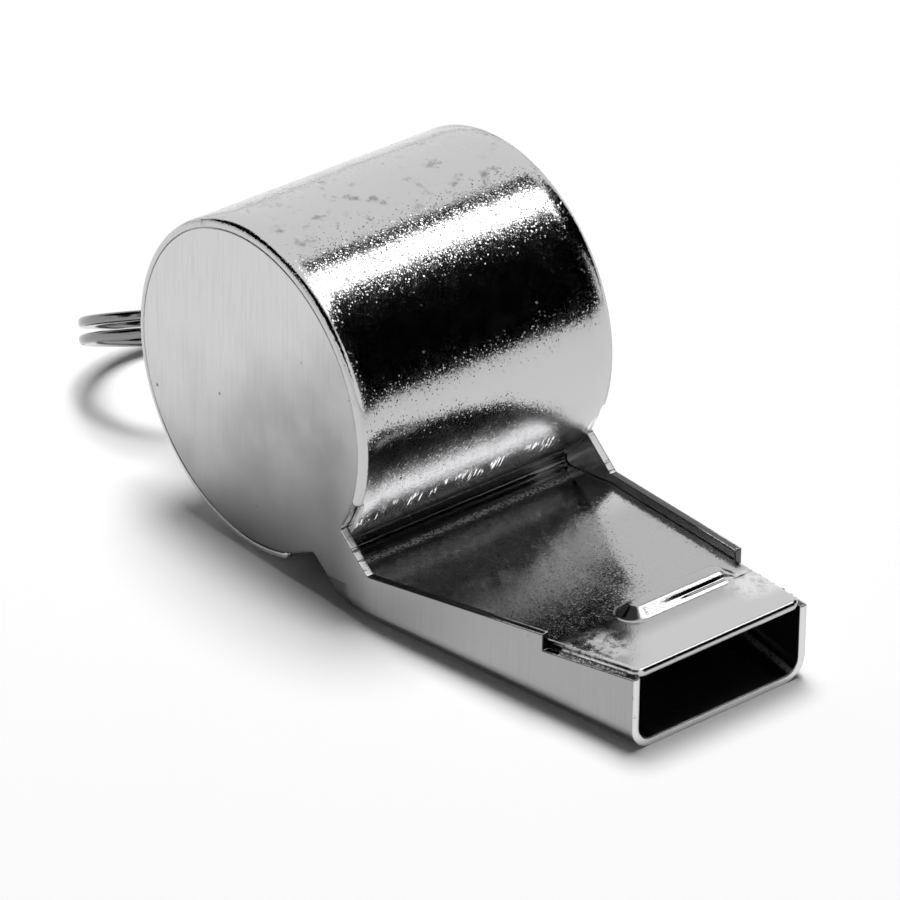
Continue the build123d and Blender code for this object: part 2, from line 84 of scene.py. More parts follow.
class NodeGraph:
    """A node tree that is filled from code, with short calls for the nodes used most."""

    # Numbers of the Mix node's colour sockets, whose names repeat.
    MIX_FIRST = 6
    MIX_SECOND = 7
    MIX_RESULT = 2

    def __init__(self, tree: bpy.types.NodeTree) -> None:
        """Start from an empty tree.

        Args:
            tree: The tree of a material or a world.
        """
        self.tree = tree
        self.tree.nodes.clear()

    def put(self, socket: Socket, value: Value) -> None:
        """Set a socket, or link it.

        Args:
            socket: An input of a node.
            value: A number, a colour or vector, or the output to link.
        """
        if isinstance(value, bpy.types.NodeSocket):
            self.tree.links.new(value, socket)
        else:
            socket.default_value = value

    def add(
        self,
        kind: str,
        inputs: dict[str | int, Value] | None = None,
        **settings: object,
    ) -> bpy.types.Node:
        """Add a node.

        Args:
            kind: The node's type name, without its common prefix.
            inputs: Values or links by input name or number.
            settings: Attributes of the node.

        Returns:
            The new node.
        """
        node = self.tree.nodes.new("ShaderNode" + kind)
        for name, value in settings.items():
            setattr(node, name, value)
        for key, value in (inputs or {}).items():
            self.put(node.inputs[key], value)
        return node

    def math(
        self,
        operation: str,
        first: Value,
        second: Value = 0.0,
        third: Value = 0.0,
    ) -> Socket:
        """Calculate with two or three values.

        Args:
            operation: The Math node's operation.
            first: First value.
            second: Second value.
            third: Third value, for the operations that use it.

        Returns:
            The result's socket.
        """
        return self.add("Math", {0: first, 1: second, 2: third}, operation=operation).outputs[0]

    def product(self, *values: Value) -> Socket:
        """Multiply two or more values.

        Args:
            values: The values, in the order in which they are multiplied.

        Returns:
            The result's socket.
        """
        result, *others = values
        for value in others:
            result = self.math("MULTIPLY", result, value)
        return result

    def vector(
        self,
        operation: str,
        first: Value,
        second: Value = ZERO,
        third: Value = ZERO,
    ) -> Socket:
        """Calculate with two or three vectors.

        Args:
            operation: The Vector Math node's operation.
            first: First vector.
            second: Second vector.
            third: Third vector, for the operations that use it.

        Returns:
            The result's socket.
        """
        inputs: dict[str | int, Value] = {0: first, 1: second, 2: third}
        return self.add("VectorMath", inputs, operation=operation).outputs[0]

    def span(
        self,
        value: Value,
        low: float,
        high: float,
        out_low: float = 0.0,
        out_high: float = 1.0,
    ) -> Socket:
        """Map a range of values smoothly to another one, held at its ends.

        Args:
            value: The value to map.
            low: Where the step starts.
            high: Where the step ends.
            out_low: Result at the start.
            out_high: Result at the end.

        Returns:
            The result's socket.
        """
        names = ("Value", "From Min", "From Max", "To Min", "To Max")
        inputs = dict(zip(names, (value, low, high, out_low, out_high)))
        return self.add("MapRange", inputs, interpolation_type="SMOOTHSTEP").outputs["Result"]

    def fade(self, value: Value, low: float, high: float) -> Socket:
        """1 below a range of values and 0 above it, with a smooth step between."""
        return self.span(value, low, high, 1.0, 0.0)

    def band(self, value: Value, rise: Edge, fall: Edge) -> Socket:
        """1 between a rising and a falling edge, 0 outside them."""
        return self.product(self.span(value, *rise), self.fade(value, *fall))

    def noise(
        self,
        place: Socket,
        grain: float,
        detail: float,
        rough: float = 0.5,
    ) -> Socket:
        """Noise of a given grain size.

        Args:
            place: Where the pattern is read.
            grain: Size of one grain in metres.
            detail: Number of finer layers.
            rough: Strength of the finer layers.

        Returns:
            The noise value, about 0 to 1.
        """
        inputs = {"Vector": place, "Scale": 1 / grain, "Detail": detail, "Roughness": rough}
        return self.add("TexNoise", inputs).outputs["Fac"]

    def cells(self, place: Socket, size: float, **settings: object) -> bpy.types.NodeOutputs:
        """Outputs of a Voronoi pattern with cells of a given size in metres."""
        inputs = {"Vector": place, "Scale": 1 / size}
        return self.add("TexVoronoi", inputs, **settings).outputs

    def mix(self, factor: Value, first: Value, second: Value) -> Socket:
        """Mix two colours.

        Args:
            factor: 0 gives the first, 1 the second.
            first: First colour.
            second: Second colour.

        Returns:
            The mixed colour.
        """
        node = self.add("Mix", data_type="RGBA")
        self.put(node.inputs["Factor"], factor)
        self.put(node.inputs[self.MIX_FIRST], first)
        self.put(node.inputs[self.MIX_SECOND], second)
        return node.outputs[self.MIX_RESULT]

    def bump(self, height: Socket, depth: float, normal: Socket | None = None) -> Socket:
        """Tilt the normal by a height pattern.

        Args:
            height: Pattern of 0 to 1.
            depth: Height in metres that 1 stands for.
            normal: The normal to start from.

        Returns:
            The tilted normal.
        """
        inputs: dict[str | int, Value] = {"Height": height, "Strength": 1.0, "Distance": depth}
        if normal is not None:
            inputs["Normal"] = normal
        return self.add("Bump", inputs).outputs["Normal"]

    def surface(self, colour: Value, rough: Value, normal: Socket, **fixed: float) -> None:
        """End a material in its shader.

        Args:
            colour: The base colour.
            rough: The roughness.
            normal: The normal.
            fixed: Values that are the same all over, by input name with _ for a space.
        """
        inputs = {name.replace("_", " "): value for name, value in fixed.items()}
        inputs.update({"Base Color": colour, "Roughness": rough, "Normal": normal})
        shader = self.add("BsdfPrincipled", inputs)
        self.add("OutputMaterial", {"Surface": shader.outputs[0]})


def grey(level: float) -> Colour:
    """An even grey as a colour."""
    return (level, level, level, 1.0)


def new_material(name: str) -> tuple[bpy.types.Material, NodeGraph]:
    """Make an empty node material.

    Args:
        name: The material's name.

    Returns:
        The material and its node graph.
    """
    material = bpy.data.materials.new(name)
    material.use_nodes = True
    return material, NodeGraph(material.node_tree)


@dataclass(frozen=True)
class Speckle:
    """A noise pattern that is cut to a soft mask."""

    grain: float
    detail: float
    rough: float
    cut: Edge

    def pattern(self, graph: NodeGraph, place: Socket) -> Socket:
        """The noise before it is cut."""
        return graph.noise(place, self.grain, self.detail, self.rough)

    def mask(self, graph: NodeGraph, place: Socket) -> Socket:
        """0 where the noise is below the cut's start, 1 above its end."""
        return graph.span(self.pattern(graph, place), *self.cut)


@dataclass(frozen=True)
class StainOrPaintedLight:
    """What a mask lays on the plate, a real stain or painted light or shade: a grey, how far it
    covers, and roughness added to it.
    """

    level: float
    share: float = 1.0
    rough: float = 0.0


@dataclass
class Coat:
    """The look of a plated surface while its layers are laid on: colour, roughness and normal."""

    graph: NodeGraph
    place: Socket
    facing: Socket
    colour: Value
    rough: Value
    normal: Socket

    def spot(self) -> tuple[Socket, Socket, Socket]:
        """The object coordinates one by one."""
        return tuple(self.graph.add("SeparateXYZ", {0: self.place}).outputs)

    def direction(self) -> tuple[Socket, Socket, Socket]:
        """The object normal's parts one by one."""
        return tuple(self.graph.add("SeparateXYZ", {0: self.facing}).outputs)

    def stretched(self, scale: Triple) -> Socket:
        """Object coordinates scaled along each axis, for a pattern that runs in one direction."""
        return self.graph.add("Mapping", {"Vector": self.place, "Scale": scale}).outputs["Vector"]

    def stain_or_painted_light(self, mask: Socket, stain_or_painted_light: StainOrPaintedLight) -> None:
        """Pull the colour towards the grey of a real stain or of painted light or shade, and change
        the roughness with it.

        Args:
            mask: Where, from 0 to 1.
            stain_or_painted_light: What is laid on: a real stain at some places, painted light or
                shade at others.
        """
        factor = self.graph.math("MULTIPLY", mask, stain_or_painted_light.share)
        self.colour = self.graph.mix(factor, self.colour, grey(stain_or_painted_light.level))
        if stain_or_painted_light.rough:
            self.roughen(mask, stain_or_painted_light.rough)

    def roughen(self, mask: Socket, amount: float) -> None:
        """Add to the roughness where the mask says."""
        self.rough = self.graph.math("MULTIPLY_ADD", mask, amount, third=self.rough)

    def emboss(self, height: Socket, depth: float) -> None:
        """Raise the surface by a height pattern."""
        self.normal = self.graph.bump(height, depth, self.normal)

    def lean(self, mask: Value, towards: Value) -> None:
        """Lean the normal towards a direction where the mask says."""
        leaning = self.graph.vector("MULTIPLY_ADD", towards, mask, self.normal)
        self.normal = self.graph.vector("NORMALIZE", leaning)


@dataclass(frozen=True)
class Windway:
    """The windway's bounds behind the mouth, for the painted shade on the faces inside it."""

    mouth: float = 28.72 * MM
    half_mouth: float = 6.6 * MM
    flare: float = 0.1516
    ceiling: float = 5.0 * MM
    slope: float = 0.1228
    floor: float = 0.25 * MM
    soft: float = 0.1 * MM
    rear: Edge = (5.0 * MM, 10.0 * MM)
    forward_facing: Edge = (0.4, 0.6)
    down_facing: Edge = (-0.6, -0.4)

    def between_walls(self, coat: Coat) -> Socket:
        """Faces of the trough that look into the windway.

        Args:
            coat: The sheet's coat.

        Returns:
            1 inside the windway, 0 elsewhere.
        """
        graph = coat.graph
        x, y, z = coat.spot()
        back = graph.math("SUBTRACT", self.mouth, x)
        half = graph.math("MULTIPLY_ADD", back, self.flare, third=self.half_mouth)
        roof = graph.math("SUBTRACT", self.ceiling, graph.math("MULTIPLY", back, self.slope))
        aside = graph.math("SUBTRACT", half, graph.math("ABSOLUTE", y))
        beside = graph.span(aside, 0.0, self.soft)
        below = graph.span(graph.math("SUBTRACT", roof, z), 0.0, self.soft)
        above = graph.span(graph.math("SUBTRACT", z, self.floor), 0.0, self.soft)
        inward = graph.fade(coat.direction()[0], *self.forward_facing)
        return graph.product(beside, below, above, inward)

    def under_plate(self, coat: Coat) -> Socket:
        """Faces of the strip that look down into the windway.

        Args:
            coat: The sheet's coat.

        Returns:
            1 under the plate, 0 elsewhere.
        """
        graph = coat.graph
        behind = graph.span(coat.spot()[0], *self.rear)
        return graph.product(behind, graph.fade(coat.direction()[2], *self.down_facing))


@dataclass(frozen=True)
class PlatedFinish:
    """Bright nickel plate on pressed metal: soft waves, fine grain, sparkling crystals and pits."""

    name: str
    tint: Colour = (0.50, 0.50, 0.505, 1.0)
    roughness: float = 0.11
    edge_radius: float = 0.12 * MM
    edge_samples: int = 8
    wave: float = 3.0 * MM
    wave_depth: float = 18 * MICRON
    grain: float = 0.13 * MM
    grain_depth: float = 3 * MICRON
    crystal: float = 0.08 * MM
    crystal_tilt: float = 0.2
    crystal_squarings: int = 3
    pit: float = 0.9 * MM
    pit_share: float = 0.12
    pit_reach: float = 0.14
    pit_soft: float = 0.03
    pit_depth: float = 30 * MICRON
    pit_stain: StainOrPaintedLight = StainOrPaintedLight(0.04, 0.8)
    smudges: Speckle = Speckle(1.2 * MM, 4.0, 0.7, (0.35, 0.75))
    smudge_rough: float = 0.05
    # Painted shade: faces inside the windway are greyed dark and made matt.
    painted_shade_inside: StainOrPaintedLight = StainOrPaintedLight(0.06, 0.7, 0.12)

    def rounding(self, graph: NodeGraph, place: Socket) -> Value:
        """Radius of the worn edges."""
        return self.edge_radius

    def tilt(self, coat: Coat) -> Value:
        """Strongest tilt of a crystal."""
        return (self.crystal_tilt,) * 3

    def crystals(self, coat: Coat) -> None:
        """Tilt tiny crystals of the plate at random, a few of them strongly, so that they sparkle.

        Args:
            coat: The sheet's coat.
        """
        graph = coat.graph
        lot = graph.cells(coat.place, self.crystal)["Color"]
        lean = graph.vector("MULTIPLY_ADD", lot, (2.0,) * 3, (-1.0,) * 3)
        rare = lean
        for _ in range(self.crystal_squarings):
            rare = graph.vector("MULTIPLY", rare, rare)
        coat.lean(self.tilt(coat), graph.vector("MULTIPLY", rare, lean))

    def pits(self, coat: Coat) -> None:
        """Sink a few small dark pits, one to a cell.

        Args:
            coat: The sheet's coat.
        """
        graph = coat.graph
        cells = graph.cells(coat.place, self.pit)
        lot = graph.add("SeparateColor", {0: cells["Color"]}).outputs[0]
        reach = graph.span(lot, 1 - self.pit_share, 1.0, 0.0, self.pit_reach)
        pit = graph.span(graph.math("SUBTRACT", reach, cells["Distance"]), 0.0, self.pit_soft)
        coat.emboss(graph.math("SUBTRACT", 1.0, pit), self.pit_depth)
        coat.stain_or_painted_light(pit, self.pit_stain)

    def own_layers(self, coat: Coat) -> None:
        """Layers that only this piece's plate has."""

    def material(self) -> bpy.types.Material:
        """Build the finish.

        Returns:
            The material.
        """
        material, graph = new_material(self.name)
        coordinate = graph.add("TexCoord").outputs
        place = coordinate["Object"]
        worn = {"Radius": self.rounding(graph, place)}
        rounded = graph.add("Bevel", worn, samples=self.edge_samples).outputs["Normal"]
        coat = Coat(graph, place, coordinate["Normal"], self.tint, self.roughness, rounded)
        coat.emboss(graph.noise(place, self.wave, detail=1.0), self.wave_depth)
        coat.emboss(graph.noise(place, self.grain, detail=1.0), self.grain_depth)
        self.crystals(coat)
        self.pits(coat)
        coat.roughen(self.smudges.mask(graph, place), self.smudge_rough)
        self.own_layers(coat)
        graph.surface(coat.colour, coat.rough, coat.normal, Metallic=1.0)
        return material


@dataclass(frozen=True)
class ChannelFinish(PlatedFinish):
    """Plate of the folded channel: polishing lines, painted shade towards the table, painted
    highlights on the cut edges and painted shade in the trough.
    """

    streaks: Speckle = Speckle(0.2 * MM, 3.0, 0.65, (0.45, 0.75))
    streak_stretch: Triple = (1.0, 1.0, 0.04)
    streak_depth: float = 4 * MICRON
    streak_dull: Edge = (0.35, 0.7)
    streak_rough: float = 0.08
    streak_stain: StainOrPaintedLight = StainOrPaintedLight(0.25, 0.15)

    # Painted shade: the plate is greyed darker towards the table and the mouth, for the table's
    # shadow mirrored in it.
    table_shade_rise: Edge = (3.0 * MM, 20.0 * MM)
    table_shade_lean: float = -0.6
    table_painted_shade: StainOrPaintedLight = StainOrPaintedLight(0.36)
    patches: Speckle = Speckle(5.0 * MM, 3.0, 0.5, (0.3, 0.7))
    patch_shift: Edge = (-1.2 * MM, 1.2 * MM)
    # Painted shade: extra darkening low on the cheeks.
    cheek_front: Edge = (4.2 * MM, 8.4 * MM)
    cheek_rise: Edge = (0.0, 17.0 * MM)
    cheek_painted_shade: StainOrPaintedLight = StainOrPaintedLight(0.17)

    wall_top: Edge = (5.7 * MM, 6.0 * MM)
    wall_side: Edge = (4.75 * MM, 5.0 * MM)
    wall_rear: Edge = (7.0 * MM, 7.7 * MM)
    top_facing: Edge = (0.2, 0.45)
    # Painted reflection: the walls' top faces are greyed near black for the dark barrel mirrored in
    # them.
    wall_top_painted_reflection: StainOrPaintedLight = StainOrPaintedLight(0.07)
    # Painted highlight: a ragged bright line on the wall tops before the notch.
    notch_highlight_rear: Edge = (17.22 * MM, 18.9 * MM)
    notch_highlight_facing: Band = ((0.72, 0.82), (0.93, 0.98))
    notch_highlight_grain: Speckle = Speckle(0.25 * MM, 3.0, 0.7, (0.35, 0.5))
    notch_painted_highlight: StainOrPaintedLight = StainOrPaintedLight(0.95, rough=0.3)

    end_facing: Edge = (0.7, 0.9)
    stub_front: Edge = (23.375 * MM, 24.75 * MM)
    # Darkens the walls' stub ends at the notch.
    stub_darkening: StainOrPaintedLight = StainOrPaintedLight(0.1)
    # Painted reflection: the mouth's lip is greyed lighter for the bright table mirrored in it.
    lip_front: Edge = (26.95 * MM, 27.5 * MM)
    lip_rise: float = 0.2
    lip_painted_reflection: StainOrPaintedLight = StainOrPaintedLight(0.72)

    # Painted highlight: the sheared throat edge is greyed near white; the shear marks across it are
    # real.
    throat_foot: Edge = (2.4 * MM, 2.64 * MM)
    throat_rear: Edge = (3.15 * MM, 3.5 * MM)
    throat_side: Edge = (0.2, 0.4)
    throat_facing: Band = ((0.3, 0.4), (0.85, 0.95))
    throat_painted_highlight: StainOrPaintedLight = StainOrPaintedLight(0.92, rough=0.35)
    shear_marks: Speckle = Speckle(0.3 * MM, 3.0, 0.7, (0.54, 0.62))
    shear_stretch: Triple = (1.0, 0.1, 1.0)
    shear_stain: StainOrPaintedLight = StainOrPaintedLight(0.06, 0.85)

    def polishing(self, coat: Coat) -> None:
        """Draw fine upright lines.

        Args:
            coat: The sheet's coat.
        """
        graph = coat.graph
        lines = self.streaks.pattern(graph, coat.stretched(self.streak_stretch))
        coat.emboss(lines, self.streak_depth)
        coat.roughen(graph.span(lines, *self.streak_dull), self.streak_rough)
        coat.stain_or_painted_light(graph.span(lines, *self.streaks.cut), self.streak_stain)

    def shade_towards_table(self, coat: Coat) -> None:
        """Paint shade on the plate towards the table and the mouth in soft patches, the cheeks
        most, standing in for the table's shadow mirrored in the plate.

        Args:
            coat: The sheet's coat.
        """
        graph = coat.graph
        x, _, z = coat.spot()
        pattern = self.patches.pattern(graph, coat.place)
        height = graph.math("ADD", z, graph.span(pattern, *self.patches.cut, *self.patch_shift))
        level = graph.math("MULTIPLY_ADD", x, self.table_shade_lean, third=height)
        # Painted shade towards the table, then more of it low on the cheeks.
        coat.stain_or_painted_light(graph.fade(level, *self.table_shade_rise), self.table_painted_shade)
        cheek = graph.fade(x, *self.cheek_front)
        coat.stain_or_painted_light(graph.product(cheek, graph.fade(level, *self.cheek_rise)), self.cheek_painted_shade)

    def wall_tops(self, coat: Coat) -> None:
        """Paint the walls' top edges dark as a painted reflection, darken the stub ends, and paint
        a bright highlight before the notch.

        Args:
            coat: The sheet's coat.
        """
        graph = coat.graph
        x, y, z = coat.spot()
        low = graph.fade(z, *self.wall_top)
        outside = graph.span(graph.math("ABSOLUTE", y), *self.wall_side)
        wall = graph.product(low, outside, graph.span(x, *self.wall_rear))
        rise = graph.add("SeparateXYZ", {0: coat.normal}).outputs["Z"]
        # Painted dark reflection on the walls' top faces.
        coat.stain_or_painted_light(graph.product(wall, graph.span(rise, *self.top_facing)), self.wall_top_painted_reflection)
        # Painted highlight on the wall tops before the notch.
        middle = graph.band(rise, *self.notch_highlight_facing)
        ragged = self.notch_highlight_grain.mask(graph, coat.place)
        notch_highlight = graph.product(wall, middle, ragged, graph.span(x, *self.notch_highlight_rear))
        coat.stain_or_painted_light(notch_highlight, self.notch_painted_highlight)
        end = graph.span(coat.direction()[0], *self.end_facing)
        coat.stain_or_painted_light(graph.product(wall, end, graph.fade(x, *self.stub_front)), self.stub_darkening)

    def cut_edges(self, coat: Coat) -> None:
        """Paint the mouth's lip bright as a painted reflection, and the sheared throat with a
        painted highlight, rough and marked across.

        Args:
            coat: The sheet's coat.
        """
        graph = coat.graph
        x, _, z = coat.spot()
        forward, side, _ = coat.direction()
        lip = graph.product(graph.span(forward, *self.end_facing), graph.span(x, *self.lip_front))
        # Painted reflection on the mouth's lip.
        coat.stain_or_painted_light(lip, self.lip_painted_reflection)
        coat.lean(lip, (0.0, 0.0, self.lip_rise))
        edge = graph.fade(graph.math("ABSOLUTE", side), *self.throat_side)
        tilted = graph.band(forward, *self.throat_facing)
        above = graph.span(z, *self.throat_foot)
        throat = graph.product(edge, tilted, above, graph.span(x, *self.throat_rear))
        # Painted highlight on the throat edge.
        coat.stain_or_painted_light(throat, self.throat_painted_highlight)
        marks = self.shear_marks.mask(graph, coat.stretched(self.shear_stretch))
        coat.stain_or_painted_light(graph.product(throat, marks), self.shear_stain)

    def own_layers(self, coat: Coat) -> None:
        """Lay painted shade towards the table, polishing lines, wall tops, cut edges and painted
        shade in the trough.

        Args:
            coat: The sheet's coat.
        """
        self.shade_towards_table(coat)
        self.polishing(coat)
        self.wall_tops(coat)
        self.cut_edges(coat)
        # Painted shade on the faces inside the windway's trough.
        coat.stain_or_painted_light(Windway().between_walls(coat), self.painted_shade_inside)


@dataclass(frozen=True)
class StripFinish(PlatedFinish):
    """Plate of the wrapped strip: stained top, strokes and fold with painted highlights, worn head,
    painted shade on the plate and inside.
    """

    head_radius: float = 0.3 * MM
    head_rear: Edge = (19.0 * MM, 20.0 * MM)
    shoulder: Edge = (14.5 * MM, 19.0 * MM)
    smooth_share: float = 0.65
    smooth_head: Edge = (21.3 * MM, 23.05 * MM)

    # Painted shade: the plate is greyed darker from here, and the head goes back to the strip's own
    # grey.
    plate_rear: Edge = (9.0 * MM, 12.6 * MM)
    plate_painted_shade: StainOrPaintedLight = StainOrPaintedLight(0.42)
    head_front: Edge = (24.4 * MM, 26.0 * MM)
    head_own_grey: StainOrPaintedLight = StainOrPaintedLight(0.56)
    barrel_front: Edge = (7.65 * MM, 9.0 * MM)
    rubbed_height: Band = ((4.56 * MM, 5.7 * MM), (8.0 * MM, 12.0 * MM))
    rubbed_rough: float = 0.11
    roll_start: float = 8.3 * MM
    roll_curve: float = 88.0

    ridge_rear: Edge = (21.087 * MM, 21.3 * MM)
    ridge_foot: Edge = (24.1 * MM, 24.341 * MM)
    ridge_end: Edge = (-1.76 * MM, -1.6 * MM)
    ridge_end_facing: Edge = (-0.4, -0.25)
    # Painted dark reflection on the ridge's near end facet.
    ridge_end_painted_reflection: StainOrPaintedLight = StainOrPaintedLight(0.03)
    crease_middle: float = 23.575 * MM
    crease_length: Edge = (-0.2 * MM, 2.6 * MM)
    crease_width: float = 0.22 * MM
    crease_depth: float = 0.05 * MM

    dab_foot: Edge = (19.0 * MM, 20.52 * MM)
    dab_groups: Speckle = Speckle(4.0 * MM, 1.0, 0.5, (0.45, 0.6))
    dabs: Speckle = Speckle(1.3 * MM, 4.0, 0.65, (0.52, 0.72))
    dab_stain: StainOrPaintedLight = StainOrPaintedLight(0.12, 0.75, 0.12)

    stroke_height: Band = ((5.415 * MM, 5.985 * MM), (6.716 * MM, 7.3 * MM))
    stroke_front: Band = ((3.0 * MM, 4.0 * MM), (7.5 * MM, 8.0 * MM))
    strokes: Speckle = Speckle(0.2 * MM, 2.0, 0.6, (0.47, 0.62))
    stroke_stretch: Triple = (0.1, 1.0, 0.1)
    stroke_groups: Speckle = Speckle(2.2 * MM, 1.0, 0.5, (0.43, 0.53))
    stroke_rise: float = 0.2
    # Painted highlight: the real tool strokes are greyed near white.
    stroke_painted_highlight: StainOrPaintedLight = StainOrPaintedLight(0.95, rough=-0.12)

    fold: Band = ((4.6 * MM, 5.3 * MM), (5.3 * MM, 6.0 * MM))
    fold_top: Edge = (4.3 * MM, 4.73 * MM)
    fold_grains: Speckle = Speckle(0.2 * MM, 3.0, 0.7, (0.4, 0.65))
    fold_depth: float = 40 * MICRON
    # Painted highlight along the fold.
    fold_painted_highlight: StainOrPaintedLight = StainOrPaintedLight(0.95, rough=0.3)

    wear_along: Band = ((22.0 * MM, 24.0 * MM), (25.5 * MM, 27.5 * MM))
    wear_beside: Edge = (3.6 * MM, 5.4 * MM)
    wear_patches: Speckle = Speckle(1.0 * MM, 4.0, 0.7, (0.35, 0.6))
    wear_stain: StainOrPaintedLight = StainOrPaintedLight(0.85, 0.9, 0.3)

    def rounding(self, graph: NodeGraph, place: Socket) -> Value:
        """Radius of the worn edges, larger on the pressed head and its ridge."""
        x = graph.add("SeparateXYZ", {0: place}).outputs["X"]
        return graph.span(x, *self.head_rear, self.edge_radius, self.head_radius)

    def tilt(self, coat: Coat) -> Value:
        """Strongest tilt of a crystal, less below the barrel's shoulder and none on the head.

        Args:
            coat: The sheet's coat.

        Returns:
            The tilt's socket.
        """
        graph = coat.graph
        x, _, z = coat.spot()
        smooth = self.smooth_share * self.crystal_tilt
        barrel = graph.span(z, *self.shoulder, smooth, self.crystal_tilt)
        return graph.product(barrel, graph.fade(x, *self.smooth_head))

    def rolled_edges(self, coat: Coat) -> None:
        """Turn the barrel's two edges down, more and more towards the rim.

        Args:
            coat: The sheet's coat.
        """
        graph = coat.graph
        x, y, _ = coat.spot()
        barrel = graph.span(x, *self.barrel_front, -self.roll_curve, 0.0)
        past = graph.math("SUBTRACT", graph.math("ABSOLUTE", y), self.roll_start)
        past = graph.math("MAXIMUM", past, 0.0)
        coat.emboss(graph.product(barrel, graph.product(past, past)), 1.0)

    def ridge_face(self, coat: Coat) -> None:
        """Crease the ridge's front face along most of it and paint its near end black as a painted
        dark reflection.

        Args:
            coat: The sheet's coat.
        """
        graph = coat.graph
        x, y, _ = coat.spot()
        aside = graph.math("ABSOLUTE", graph.math("SUBTRACT", x, self.crease_middle))
        groove = graph.span(aside, 0.0, self.crease_width)
        crease = graph.product(groove, graph.span(y, *self.crease_length))
        coat.emboss(crease, self.crease_depth)
        sloping = graph.fade(coat.direction()[1], *self.ridge_end_facing)
        near = graph.product(sloping, graph.fade(y, *self.ridge_end))
        length = graph.band(x, self.ridge_rear, self.ridge_foot)
        coat.stain_or_painted_light(graph.product(near, length), self.ridge_end_painted_reflection)

    def stains(self, coat: Coat) -> None:
        """Dab small dark stains in loose groups along the barrel's top.

        Args:
            coat: The sheet's coat.
        """
        graph = coat.graph
        top = graph.span(coat.spot()[2], *self.dab_foot)
        groups = self.dab_groups.mask(graph, coat.place)
        dabs = self.dabs.mask(graph, coat.place)
        coat.stain_or_painted_light(graph.product(top, graph.product(groups, dabs)), self.dab_stain)

    def press_strokes(self, coat: Coat) -> None:
        """Short strokes that the folding tool left on the barrel above the hairpin bend, with a
        painted highlight on them.

        Args:
            coat: The sheet's coat.
        """
        graph = coat.graph
        x, _, z = coat.spot()
        height = graph.band(z, *self.stroke_height)
        front = graph.band(x, *self.stroke_front)
        strokes = self.strokes.mask(graph, coat.stretched(self.stroke_stretch))
        groups = self.stroke_groups.mask(graph, coat.place)
        marks = graph.product(height, front, strokes, groups)
        coat.lean(marks, (0.0, 0.0, self.stroke_rise))
        coat.stain_or_painted_light(marks, self.stroke_painted_highlight)

    def fold_line(self, coat: Coat) -> None:
        """A painted highlight along the fold between barrel and plate, a broken line of bright
        grains.

        Args:
            coat: The sheet's coat.
        """
        graph = coat.graph
        x, _, z = coat.spot()
        across = graph.band(x, *self.fold)
        low = graph.fade(z, *self.fold_top)
        line = graph.product(across, low, self.fold_grains.mask(graph, coat.place))
        coat.emboss(line, self.fold_depth)
        coat.stain_or_painted_light(line, self.fold_painted_highlight)

    def wear(self, coat: Coat) -> None:
        """Rub the plate matt beside the head's solder.

        Args:
            coat: The sheet's coat.
        """
        graph = coat.graph
        x, y, _ = coat.spot()
        along = graph.band(x, *self.wear_along)
        beside = graph.span(graph.math("ABSOLUTE", y), *self.wear_beside)
        patches = self.wear_patches.mask(graph, coat.place)
        coat.stain_or_painted_light(graph.product(along, beside, patches), self.wear_stain)

    def own_layers(self, coat: Coat) -> None:
        """Lay the plate's painted shade, rolled edges, stains, strokes, wear and painted shade on
        the underside.

        Args:
            coat: The sheet's coat.
        """
        graph = coat.graph
        x, _, z = coat.spot()
        # Painted shade on the plate, ended at the head.
        coat.stain_or_painted_light(graph.span(x, *self.plate_rear), self.plate_painted_shade)
        coat.stain_or_painted_light(graph.span(x, *self.head_front), self.head_own_grey)
        barrel = graph.fade(x, *self.barrel_front)
        rubbed = graph.product(barrel, graph.band(z, *self.rubbed_height))
        coat.roughen(rubbed, self.rubbed_rough)
        self.rolled_edges(coat)
        self.ridge_face(coat)
        self.stains(coat)
        self.press_strokes(coat)
        self.fold_line(coat)
        self.wear(coat)
        # Painted shade on the plate's underside inside the windway.
        coat.stain_or_painted_light(Windway().under_plate(coat), self.painted_shade_inside)


@dataclass(frozen=True)
class SolderFinish:
    """Dull tin solder: lumpy, slightly darker than the plate, with brighter specks."""

    name: str
    dark: Colour = (0.22, 0.22, 0.23, 1.0)
    bright: Colour = (0.66, 0.66, 0.67, 1.0)
    specks: Speckle = Speckle(0.12 * MM, 2.0, 0.5, (0.45, 0.68))
    lumps: Speckle = Speckle(0.3 * MM, 3.0, 0.6, (0.3, 0.7))
    lump_depth: float = 40 * MICRON
    roughness: Edge = (0.28, 0.5)

    def material(self) -> bpy.types.Material:
        """Build the finish.

        Returns:
            The material.
        """
        material, graph = new_material(self.name)
        place = graph.add("TexCoord").outputs["Object"]
        lumps = self.lumps.pattern(graph, place)
        colour = graph.mix(self.specks.mask(graph, place), self.dark, self.bright)
        rough = graph.span(lumps, *self.lumps.cut, *self.roughness)
        graph.surface(colour, rough, graph.bump(lumps, self.lump_depth), Metallic=1.0)
        return material


